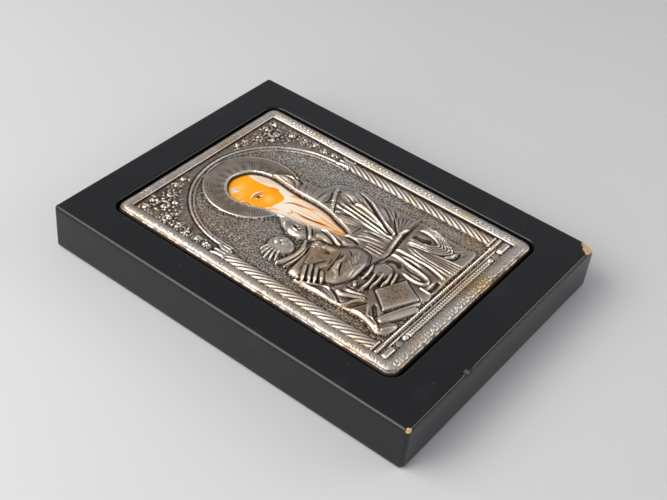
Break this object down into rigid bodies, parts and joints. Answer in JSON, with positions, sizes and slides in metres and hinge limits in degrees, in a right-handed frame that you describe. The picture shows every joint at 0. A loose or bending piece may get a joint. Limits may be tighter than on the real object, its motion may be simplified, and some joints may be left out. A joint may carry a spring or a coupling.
{
  "type": "icon panel",
  "caption": "Black wooden block with an embossed silver icon cover in its face: a robed saint under an arch holds a swaddled child, with a painted head and beard.",
  "frame": {"origin": "centre of the block's flat underside, which is the back of the icon", "axes": "X across the picture to the viewer's right, Y up the picture towards the saint's head, Z out of the picture"},
  "size_m": [0.154, 0.202, 0.0263],
  "materials": {
    "black_lacquer": "black satin lacquer with a thin film of dust, worn to bare wood at the knocked corners",
    "silver": "embossed silver sheet, bright on the ridges and oxidised dark brown-grey in the hollows",
    "icon_paint": "varnished paint: orange flesh, brown-red lines, off-white hair and beard"
  },
  "bodies": {
    "root": {"wood_panel": "black_lacquer", "silver_cover": "silver", "painted_board": "icon_paint"}
  },
  "joints": []
}
